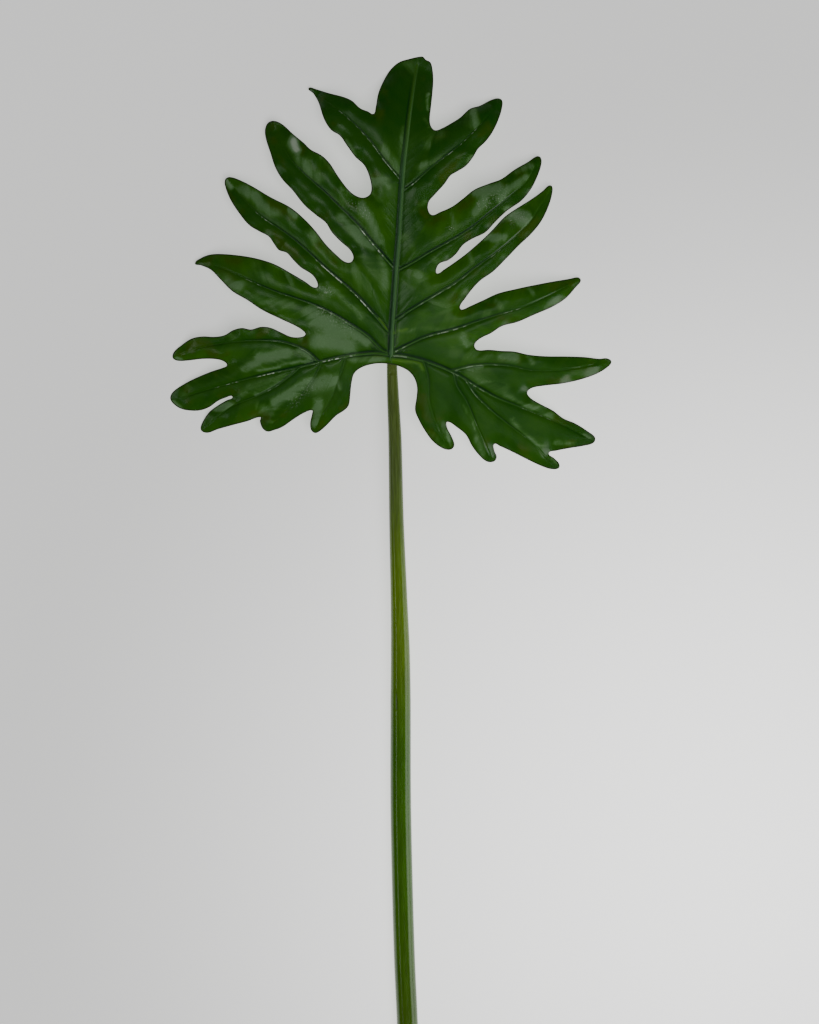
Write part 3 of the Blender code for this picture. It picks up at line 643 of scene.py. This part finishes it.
def finishCut(stalk):
    # the cut end: a rounded rim, then a face that sinks a little towards its middle
    shape = stalkShape
    far = readPlaces(stalk)[:, 1].min() + shape["cutReach"]
    middle = selectParts(stalk, "FACE", lambda face: len(face.verts) == shape["sides"]
                         and face.calc_center_median().y < far)[0]
    for size, sink in shape["cutRings"]:
        bpy.ops.mesh.extrude_region_move(TRANSFORM_OT_translate={"value": (0, sink * mm, 0)})
        middle.y += sink * mm
        bpy.ops.transform.resize(value=(size,) * 3, center_override=middle)
    bpy.ops.mesh.poke()
    bpy.ops.object.mode_set(mode="OBJECT")
    places = readPlaces(stalk)
    places[:, 2] = np.maximum(places[:, 2], 0)
    writePlaces(stalk, places)
    atEnd = places[:, 1] < far
    axis = (places[atEnd].max(axis=0) + places[atEnd].min(axis=0)) / 2
    fromAxis = np.hypot(places[:, 0] - axis[0], places[:, 2] - axis[2])
    writeNumbers(stalk, "cut", atEnd & (fromAxis < fromAxis[atEnd].max() - shape["cutRim"]))


# Materials: small helpers, then what both finishes share

class Graph:
    # a node tree that is written as formulas
    def __init__(self, tree):
        self.tree = tree

    def add(self, kind, inputs=None, **settings):
        node = self.tree.nodes.new(kind)
        for name, value in settings.items():
            setattr(node, name, value)
        for name, value in (inputs or {}).items():
            self.feed(node.inputs[name], value)
        return node

    def feed(self, socket, value):
        if isinstance(value, bpy.types.NodeSocket):
            self.tree.links.new(value, socket)
        elif isinstance(value, tuple) and len(value) == 3 and len(socket.default_value) == 4:
            socket.default_value = (*value, 1)
        else:
            socket.default_value = value

    def math(self, operation, *values):
        return self.add("ShaderNodeMath", dict(enumerate(values)), operation=operation).outputs[0]

    def times(self, *values):
        product = values[0]
        for value in values[1:]:
            product = self.math("MULTIPLY", product, value)
        return product

    def fade(self, value, low, high, toLow=0, toHigh=1):
        ends = dict(enumerate((value, low, high, toLow, toHigh)))
        return self.add("ShaderNodeMapRange", ends, interpolation_type="SMOOTHSTEP").outputs[0]

    def bump(self, value, at, width):
        # 1 where the value is at that number, fading out past the width
        share = self.math("DIVIDE", self.math("SUBTRACT", value, at), width)
        return self.math("EXPONENT", self.times(share, share, -1))

    def mix(self, share, first, second, blend="MIX"):
        tones = {"Factor": share, 6: first, 7: second}
        return self.add("ShaderNodeMix", tones, data_type="RGBA", blend_type=blend).outputs[2]

    def read(self, name):
        return self.add("ShaderNodeAttribute", attribute_name=name).outputs["Fac"]

    def noise(self, place, scale, detail=2, roughness=0.5):
        inputs = {"Vector": place, "Scale": scale, "Detail": detail, "Roughness": roughness}
        return self.add("ShaderNodeTexNoise", inputs).outputs["Fac"]

    def cells(self, place, scale):
        cells = self.add("ShaderNodeTexVoronoi", {"Vector": place, "Scale": scale}, feature="F1")
        return cells.outputs["Distance"]

    def finish(self, inputs, height=None):
        # the skin, with a relief in metres, and the output
        if height is not None:
            relief = self.add("ShaderNodeBump", {"Strength": 1, "Distance": 1, "Height": height})
            inputs["Normal"] = relief.outputs["Normal"]
        surface = self.add("ShaderNodeBsdfPrincipled", inputs)
        self.add("ShaderNodeOutputMaterial", {"Surface": surface.outputs[0]})


def newMaterial(name):
    material = bpy.data.materials.new(name)
    material.use_nodes = True
    material.node_tree.nodes.clear()
    return material, Graph(material.node_tree)


skinGrain = {
    # scale, detail and roughness of each noise
    "coarse": (260, 3, 0.55),
    "fine": (1300, 2, 0.6),
    "glintPatches": (70, 2),
    "mottle": (38, 4, 0.6),
    "specks": (950, 2, 0.7),
    "glintScale": 620,
    "glintSize": (0.05, 0.32),
    "speckFade": (0.5, 0.68),
}


def leatheryGrain():
    # the fine skin of leaf and stalk: its height in metres, a mottle and a mask of tiny specks
    look = skinGrain
    tree = bpy.data.node_groups.new("leatheryGrain", "ShaderNodeTree")
    tree.interface.new_socket("Place", in_out="INPUT", socket_type="NodeSocketVector")
    for name, value in (("Coarse", 0.03), ("Fine", 0.01), ("Glints", 0.02)):
        tree.interface.new_socket(name, in_out="INPUT", socket_type="NodeSocketFloat").default_value = value
    for name in ("Height", "Mottle", "Specks"):
        tree.interface.new_socket(name, in_out="OUTPUT", socket_type="NodeSocketFloat")
    graph = Graph(tree)
    given = graph.add("NodeGroupInput").outputs
    place = given["Place"]
    paintedGlints = graph.fade(graph.cells(place, look["glintScale"]), *look["glintSize"], 1, 0)
    paintedGlints = graph.times(paintedGlints, graph.fade(graph.noise(place, *look["glintPatches"]), *look["speckFade"]))
    height = graph.times(graph.noise(place, *look["coarse"]), given["Coarse"])
    height = graph.math("MULTIPLY_ADD", graph.noise(place, *look["fine"]), given["Fine"], height)
    height = graph.math("MULTIPLY_ADD", paintedGlints, given["Glints"], height)
    graph.add("NodeGroupOutput", {
        "Height": graph.times(height, mm), "Mottle": graph.noise(place, *look["mottle"]),
        "Specks": graph.fade(graph.noise(place, *look["specks"]), *look["speckFade"]),
    })
    return tree


def placeGrain(graph, group, place, heights):
    inputs = dict(zip(("Place", "Coarse", "Fine", "Glints"), (place, *heights)))
    return graph.add("ShaderNodeGroup", inputs, node_tree=group).outputs[:3]


bladeFinish = {
    "green": (0.015, 0.094, 0.001),
    "paleGreen": (0.038, 0.146, 0.003),
    "deepGreen": (0.008, 0.064, 0.002),
    "olive": (0.05, 0.092, 0.004),
    # the tones of the painted sheen
    "softSheen": (0.08, 0.205, 0.036),
    "paintedSheen": (0.118, 0.24, 0.092),
    # the near-white tone of painted glints
    "paintedGlint": (0.6, 0.68, 0.56),
    # painted shade in the grooves, painted highlight beside the veins, the midrib's tone and its painted
    # highlight
    "groove": (0.001, 0.021, 0.007),
    "highlightLine": (0.07, 0.19, 0.04),
    "midrib": (0.056, 0.15, 0.054),
    "midribHighlight": (0.13, 0.28, 0.09),
    "yellow": (0.085, 0.23, 0.01),
    "rim": (0.026, 0.038, 0.012),
    "underside": (0.075, 0.185, 0.036),
    "underRib": (0.15, 0.27, 0.07),
    "roughness": 0.29,
    "paintedSheenRoughness": 0.42,
    "veinRoughness": 0.34,
    "grainHeights": (0.05, 0.012, 0.03),  # of the coarse and the fine grain and the glints, in mm
    # the bands between the small side veins: length in mm, how they wobble, their even share, their strength
    "bandLength": 8,
    "bandWobble": 1.2,
    "bandEven": 0.8,
    "bandTone": 0.4,
    "streakScales": (0.16, 0.03),  # of the streaks that fan out with them, along the vein and away from it
    "streakTone": 1.2,
    "streakSheen": 0.9,
    "patchiness": 0.3,  # of the painted sheen
    # each line: how far from the middle of the vein, and its half width, both in half widths of the vein
    # the dark lines on the high and the low side are painted shade in the groove, the pale line a painted
    # highlight
    "highLine": (0.6, 0.65),
    "lowLine": (-1.1, 0.32),
    "paleLineAt": (-0.45, 0.34),
    "paleShow": 0.42,
    # each fade: from and to, and what it gives before and after. Along a vein, in shares of its length
    "lineFading": 0.35,
    "lowLineShow": (0.1, 0.55, 0.75, 0),
    "paleEnd": (0.7, 0.95, 1, 0),
    "grooveShow": (0.7, 1, 1, 0.3),
    # away from a vein, in its half widths, and from the midrib or the margin, in mm
    "veinReach": (2, 3, 1, 0),
    "offMidrib": (1.2, 2.6),
    "rimShow": (0.3, 1.1, 0.9, 0),
    # up the leaf, in metres, and along the midrib, in mm
    "deepBelow": (0.15, 0.19, 0.45, 0),
    # deeper green low on the leaf, and painted shade on the low side of the upper lobes and towards the apex
    "shadeLowSide": (0.2, 0.26, 0, 0.6),
    "shadeAhead": (95, 165, 0, 0.8),
    "midribWidth": (120, 180, 1.3, 0.7),
    "midribShow": (100, 200, 0.9, 0.5),
    "midribYellow": (125, 165, 0, 0.7),
    "herringHeight": (110, 160, 0.045 * mm, 0.015 * mm),
    # lines beside the midrib: tone, place and half width in mm, and how they fade along it; the dark line is
    # painted shade, the pale one a painted highlight
    "midribLines": [("groove", 1.8, 0.45, (170, 195, 0.75, 0)),
                    ("midribHighlight", -0.95, 0.4, (150, 200, 0.6, 0.2))],
    "herringLean": 1.15,
    "herringLength": 5.6,
    "herringWobble": 5,
}


def smallVeinTones(graph, place):
    # bands between the small side veins and streaks that fan out with them, both lying around 0
    look = bladeFinish
    lean = graph.read("lean")
    wobble = look["bandWobble"]
    wobble = graph.math("MULTIPLY_ADD", graph.noise(place, 45), wobble, -wobble / 2)
    bandPlace = graph.math("ADD", graph.math("DIVIDE", lean, look["bandLength"]), wobble)
    step = graph.math("FLOOR", bandPlace)
    first, second = (graph.add("ShaderNodeTexWhiteNoise", {"W": number}, noise_dimensions="1D").outputs[0]
                     for number in (step, graph.math("ADD", step, 1)))
    ahead = graph.fade(graph.math("FRACT", bandPlace), look["bandEven"], 1)
    band = graph.math("MULTIPLY_ADD", ahead, graph.math("SUBTRACT", second, first), first)
    along, away = look["streakScales"]
    fan = graph.add("ShaderNodeCombineXYZ", {
        "X": graph.times(lean, along), "Y": graph.times(graph.read("veinAway"), away)})
    streaks = graph.noise(fan.outputs[0], 1, 4, 0.65)
    shown = graph.fade(graph.read("between"), 0.1, 0.5)
    return [graph.times(graph.math("SUBTRACT", tone, 0.5), shown) for tone in (band, streaks)]


def bladeBody(graph, place, mottle, specks):
    # the skin between the veins: its colour, deeper along the veins and low on the leaf, with painted shade
    # towards the apex and on the low side of the upper lobes, and how much painted sheen lies on it
    look = bladeFinish
    band, streaks = smallVeinTones(graph, place)
    paleness = graph.math("MULTIPLY_ADD", band, look["bandTone"], graph.fade(mottle, 0.3, 0.7))
    paleness = graph.math("MULTIPLY_ADD", streaks, look["streakTone"], paleness)
    colour = graph.mix(paleness, look["green"], look["paleGreen"])
    north = graph.add("ShaderNodeSeparateXYZ", {"Vector": place}).outputs["Y"]
    # deeper green along the veins and low on the leaf; towards the apex and on the low side of the upper
    # lobes it is painted shade
    deep = graph.times(graph.bump(graph.read("veinAway"), 0, 4), 0.45)
    for other in (graph.fade(graph.read("midribRun"), *look["shadeAhead"]),
                  graph.times(graph.read("lowSide"), graph.fade(north, *look["shadeLowSide"])),
                  graph.fade(north, *look["deepBelow"])):
        deep = graph.math("MAXIMUM", deep, other)
    colour = graph.mix(deep, colour, look["deepGreen"])
    worn = graph.times(graph.bump(graph.read("edgeAway"), 4, 4),
                       graph.fade(graph.noise(place, 60, 3), 0.52, 0.66, 0, 0.6))
    colour = graph.mix(worn, colour, look["olive"])
    # painted sheen: a paler, greyer tone over the drawn strokes, standing in for the gloss
    drawn = graph.read("paintedSheen")
    patchy = look["patchiness"]
    patchy = graph.math("MULTIPLY_ADD", graph.noise(place, 130, 4, 0.65), patchy, -patchy / 2)
    patchy = graph.math("MULTIPLY_ADD", streaks, look["streakSheen"], patchy)
    patchy = graph.math("MULTIPLY_ADD", band, look["bandTone"], patchy)
    paintedSheen = graph.times(graph.fade(graph.math("ADD", drawn, patchy), 0.05, 0.95),
                        graph.fade(drawn, 0.02, 0.3), graph.math("MULTIPLY_ADD", specks, 0.3, 0.85))
    sheenTone = graph.mix(graph.fade(paintedSheen, 0.25, 0.85), look["softSheen"], look["paintedSheen"])
    colour = graph.mix(paintedSheen, colour, sheenTone)
    # the strongest strokes turn into a near-white painted glint
    return graph.mix(graph.fade(drawn, 0.95, 1.9, 0, 0.6), colour, look["paintedGlint"]), paintedSheen


def drawVeins(graph, place, inWidths, colour):
    # painted shade and light along each vein: a broad dark line of painted shade on its high side, then a
    # pale line of painted highlight with small painted glints, and near the root a thin dark line of painted
    # shade along the low side
    look = bladeFinish
    share, lowSide, strength, lineEnd = (
        graph.read(name) for name in ("veinShare", "lowSide", "veinLine", "lineEnd"))
    atVein = graph.fade(inWidths, *look["veinReach"])
    across = graph.times(inWidths, graph.math("MULTIPLY_ADD", lowSide, -2, 1))
    fading = graph.math("SUBTRACT", lineEnd, look["lineFading"])
    # the dark lines: painted shade in the groove, fading along the vein
    high = graph.times(graph.bump(across, *look["highLine"]), graph.fade(share, fading, lineEnd, 0.97, 0))
    low = graph.times(graph.bump(across, *look["lowLine"]), graph.fade(share, *look["lowLineShow"]))
    broken = graph.fade(graph.noise(place, 75, 3, 0.6), 0.36, 0.58, 0.7, 1)
    line = graph.times(graph.math("MAXIMUM", high, low), atVein, strength, broken)
    colour = graph.mix(line, colour, look["groove"])
    # the pale line: a painted highlight beside the groove, on the vein's low side
    offMidrib = graph.fade(graph.math("ABSOLUTE", graph.read("midribAway")), *look["offMidrib"])
    highlight = graph.times(graph.bump(across, *look["paleLineAt"]), atVein, lowSide, offMidrib,
                       graph.fade(share, *look["paleEnd"]))
    colour = graph.mix(graph.times(highlight, strength, look["paleShow"]), colour, look["highlightLine"])
    # small near-white painted glints on the pale line
    glintDashes = graph.times(graph.fade(graph.noise(place, 260, 3, 0.6), 0.48, 0.58),
                         graph.fade(graph.noise(place, 40, 1), 0.46, 0.56),
                         graph.fade(highlight, 0.1, 0.6), graph.read("shine"))
    return graph.mix(glintDashes, colour, look["paintedGlint"])


def drawMidrib(graph, colour):
    # a grey-green cord with a dark line of painted shade on its left and a pale line of painted highlight on
    # its right
    look = bladeFinish
    away, run = graph.read("midribAway"), graph.read("midribRun")
    cord = graph.times(graph.bump(away, 0.1, graph.fade(run, *look["midribWidth"])),
                       graph.fade(run, *look["midribShow"]))
    tone = graph.mix(graph.fade(run, *look["midribYellow"]), look["midrib"], look["yellow"])
    colour = graph.mix(cord, colour, tone)
    for tone, at, width, fading in look["midribLines"]:
        line = graph.times(graph.bump(away, at, width), graph.fade(run, *fading))
        colour = graph.mix(line, colour, look[tone])
    return colour


def midribHerring(graph, place):
    # small side veins beside the midrib, raised a little
    look = bladeFinish
    away, run = graph.math("ABSOLUTE", graph.read("midribAway")), graph.read("midribRun")
    lean = graph.math("MULTIPLY_ADD", away, -look["herringLean"], run)
    lean = graph.math("MULTIPLY_ADD", graph.noise(place, 60), look["herringWobble"], lean)
    waves = graph.math("SINE", graph.times(lean, 2 * math.pi / look["herringLength"]))
    return graph.times(graph.fade(waves, 0.2, 1), graph.bump(away, 7, 6), graph.read("between"),
                       graph.fade(run, *look["herringHeight"]))


def bladeMaterial(grain):
    look = bladeFinish
    material, graph = newMaterial("leafGreen")
    place = graph.add("ShaderNodeTexCoord").outputs["Object"]
    height, mottle, specks = placeGrain(graph, grain, place, look["grainHeights"])
    inWidths = graph.math("DIVIDE", graph.read("veinAway"), graph.read("veinWidth"))
    colour, paintedSheen = bladeBody(graph, place, mottle, specks)
    colour = drawVeins(graph, place, inWidths, colour)
    colour = drawMidrib(graph, colour)
    colour = graph.mix(graph.times(graph.read("yellow"), 0.8), colour, look["yellow"])
    # painted glints: near-white specks over the listed bright places
    paintedGlint = graph.times(graph.read("paintedGlint"), graph.fade(specks, 0.3, 0.9), 0.8)
    colour = graph.mix(paintedGlint, colour, look["paintedGlint"])
    colour = graph.mix(graph.fade(graph.read("edgeAway"), *look["rimShow"]), colour, look["rim"])
    below = graph.times(graph.bump(inWidths, 0, 1), 0.8)
    below = graph.mix(below, look["underside"], look["underRib"])
    colour = graph.mix(graph.fade(graph.read("faceSide"), -0.6, -0.2, 1, 0), colour, below)
    inGroove = graph.times(graph.bump(inWidths, 0, 1.3),
                           graph.fade(graph.read("veinShare"), *look["grooveShow"]))
    rough = graph.fade(paintedSheen, 0, 1, look["roughness"], look["paintedSheenRoughness"])
    rough = graph.math("MAXIMUM", rough, graph.times(inGroove, look["veinRoughness"]))
    height = graph.math("ADD", height, midribHerring(graph, place))
    graph.finish({"Base Color": colour, "Roughness": rough}, height)
    return material


stalkFinish = {
    "top": (0.096, 0.148, 0.023),
    # the tones below it, and between what distances from the joint each takes over, in mm
    "tones": [((0.084, 0.131, 0.026), 10, 90), ((0.122, 0.222, 0.008), 60, 170),
              ((0.046, 0.142, 0.002), 180, 275), ((0.06, 0.125, 0.008), 330, 500)],
    "streaks": (900, 3, 0.6),  # scale, detail and roughness
    "stretch": (1, 0.06, 1),
    "cutFace": (0.26, 0.3, 0.11),
    "strands": (0.12, 0.13, 0.035),
    "strandScale": 560,
    "scar": (0.01, 0.026, 0.003),
    "scarLip": (0.17, 0.26, 0.1),
    "scarAround": -21,  # degrees from the top of the stalk
    "lipAround": -27,
    "scarWidth": 3,
    "scarFrom": (224, 234),  # mm below the joint
    "scarTo": (239, 241),
    "scarDepth": 0.3 * mm,
    "grainHeights": (0.04, 0.015, 0),
    "roughness": 0.2,
    "gloss": 0.5,
}


def stalkMaterial(grain):
    look = stalkFinish
    material, graph = newMaterial("stalkGreen")
    place = graph.add("ShaderNodeTexCoord").outputs["Object"]
    stretched = graph.add("ShaderNodeMapping", {"Vector": place, "Scale": look["stretch"]}).outputs[0]
    height, _, _ = placeGrain(graph, grain, stretched, look["grainHeights"])
    down, around = graph.read("down"), graph.read("around")
    colour = look["top"]
    for tone, start, end in look["tones"]:
        colour = graph.mix(graph.fade(down, start, end), colour, tone)
    streaks = graph.fade(graph.noise(stretched, *look["streaks"]), 0.3, 0.7, 0.82, 1.14)
    colour = graph.mix(1, colour, streaks, blend="MULTIPLY")
    scarLength = graph.times(graph.fade(down, *look["scarFrom"]), graph.fade(down, *look["scarTo"], 1, 0))
    slit = graph.times(graph.bump(around, look["scarAround"], look["scarWidth"]), scarLength)
    lip = graph.times(graph.bump(around, look["lipAround"], look["scarWidth"]), scarLength, 0.5)
    colour = graph.mix(slit, colour, look["scar"])
    colour = graph.mix(lip, colour, look["scarLip"])
    strands = graph.fade(graph.cells(place, look["strandScale"]), 0.2, 0.4, 1, 0)
    cutFace = graph.mix(strands, look["cutFace"], look["strands"])
    colour = graph.mix(graph.read("cut"), colour, cutFace)
    height = graph.math("MULTIPLY_ADD", slit, -look["scarDepth"], height)
    graph.finish({
        "Base Color": colour, "Roughness": look["roughness"], "Specular IOR Level": look["gloss"]}, height)
    return material


# Studio

studio = {
    "cameraHeight": 3,
    "leafLevel": 0.015,
    "sensor": 36,  # mm
    "pictureHeight": 1024,  # in squares
    "middle": (409.5 - 392, 355 - 512),  # of the picture, in squares from the joint
    "floorSize": 40,
    "floorColour": (0.6, 0.6, 0.59),
    "floorRoughness": 0.9,
    "floorGloss": 0.1,
    "glowColour": (1, 1, 0.99),
    "floorGlow": 0.6,
    "poolGlow": 1.25,  # how much more the floor glows in a soft pool of light at the lower right
    "poolPlace": (0.27, -0.17, 0),
    "poolReach": 0.55,
    "skyColour": (0.97, 0.98, 1),
    "skyGlow": 0.85,
    "skyLight": 0.02,  # how little of it lights the leaf
    # name, where it stands, where it points, size, watts, whether it lights the colour and whether the gloss
    # shows it
    "lights": [
        ("leftSheen", (-0.55, 0.42, 2.1), (0, 0.2, 0), (0.6, 0.5), 2, False, True),
        ("rightSheen", (0.55, 0.48, 2.1), (0, 0.2, 0), (0.4, 0.4), 1, False, True),
        ("stalkStrip", (0.85, -0.24, 0.33), (0.01, -0.24, 0.01), (0.5, 0.5), 2.1, False, True),
        ("stalkEdge", (-1.35, -0.25, 1.2), (0.01, -0.25, 0.01), (0.5, 0.2), 0.8, False, True),
        ("softLight", (0.8, -1, 3.1), (0, 0, 0), (2.4, 2.4), 76, True, False),
    ],
}


def makeStudio(corner):
    look = studio
    deselectAll()
    bpy.ops.mesh.primitive_plane_add(size=look["floorSize"])
    floor = bpy.context.object
    floor.name = "studioFloor"
    material, graph = newMaterial("paleFloor")
    pool = graph.add("ShaderNodeMapping", {
        "Vector": graph.add("ShaderNodeTexCoord").outputs["Object"], "Location": look["poolPlace"],
        "Scale": (look["poolReach"],) * 3}, vector_type="TEXTURE")
    glow = graph.add("ShaderNodeTexGradient", {"Vector": pool.outputs[0]}, gradient_type="SPHERICAL")
    glow = graph.fade(glow.outputs["Fac"], 0, 1, look["floorGlow"], look["floorGlow"] + look["poolGlow"])
    graph.finish({
        "Base Color": look["floorColour"], "Roughness": look["floorRoughness"],
        "Specular IOR Level": look["floorGloss"], "Emission Color": look["glowColour"],
        "Emission Strength": glow})
    floor.data.materials.append(material)
    for name, place, target, size, watts, lightsColour, showsInGloss in look["lights"]:
        light = bpy.data.lights.new(name, "AREA")
        light.shape = "RECTANGLE"
        light.size, light.size_y = size
        light.energy = watts
        lamp = newObject(name, light)
        lamp.location = place
        lamp.visible_diffuse = lightsColour
        lamp.visible_glossy = showsInGloss
        lamp.rotation_euler = (Vector(place) - Vector(target)).to_track_quat("Z", "Y").to_euler()
    world = bpy.data.worlds.new("studioAir")
    bpy.context.scene.world = world
    world.use_nodes = True
    air = Graph(world.node_tree)
    background = world.node_tree.nodes["Background"]
    air.feed(background.inputs["Color"], look["skyColour"])
    seen = air.add("ShaderNodeLightPath").outputs["Is Camera Ray"]
    air.feed(background.inputs["Strength"], air.fade(seen, 0, 1, look["skyLight"], look["skyGlow"]))
    lens = bpy.data.cameras.new("overhead")
    camera = newObject("overhead", lens)
    x, y = look["middle"]
    camera.location = (corner[0] + x * square, corner[1] + y * square, look["cameraHeight"])
    lens.sensor_fit = "VERTICAL"
    lens.sensor_height = look["sensor"]
    away = look["cameraHeight"] - look["leafLevel"]
    lens.lens = look["sensor"] * away / (look["pictureHeight"] * square)
    bpy.context.scene.camera = camera
    return floor


blade, corner = makeBlade()
print("blade:", len(blade.data.polygons), "faces")
stalk = makeStalk(corner)
print("stalk:", len(stalk.data.polygons), "faces")
grain = leatheryGrain()
for piece, material, node, slotName in ((blade, bladeMaterial(grain), "blade", "blade"),
                                        (stalk, stalkMaterial(grain), "petiole", "petiole")):
    piece.data.materials.clear()
    piece.data.materials.append(material)
    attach(piece, "root")
    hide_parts(node)
print("materials: done")
makeStudio(corner)
print("studio: done")
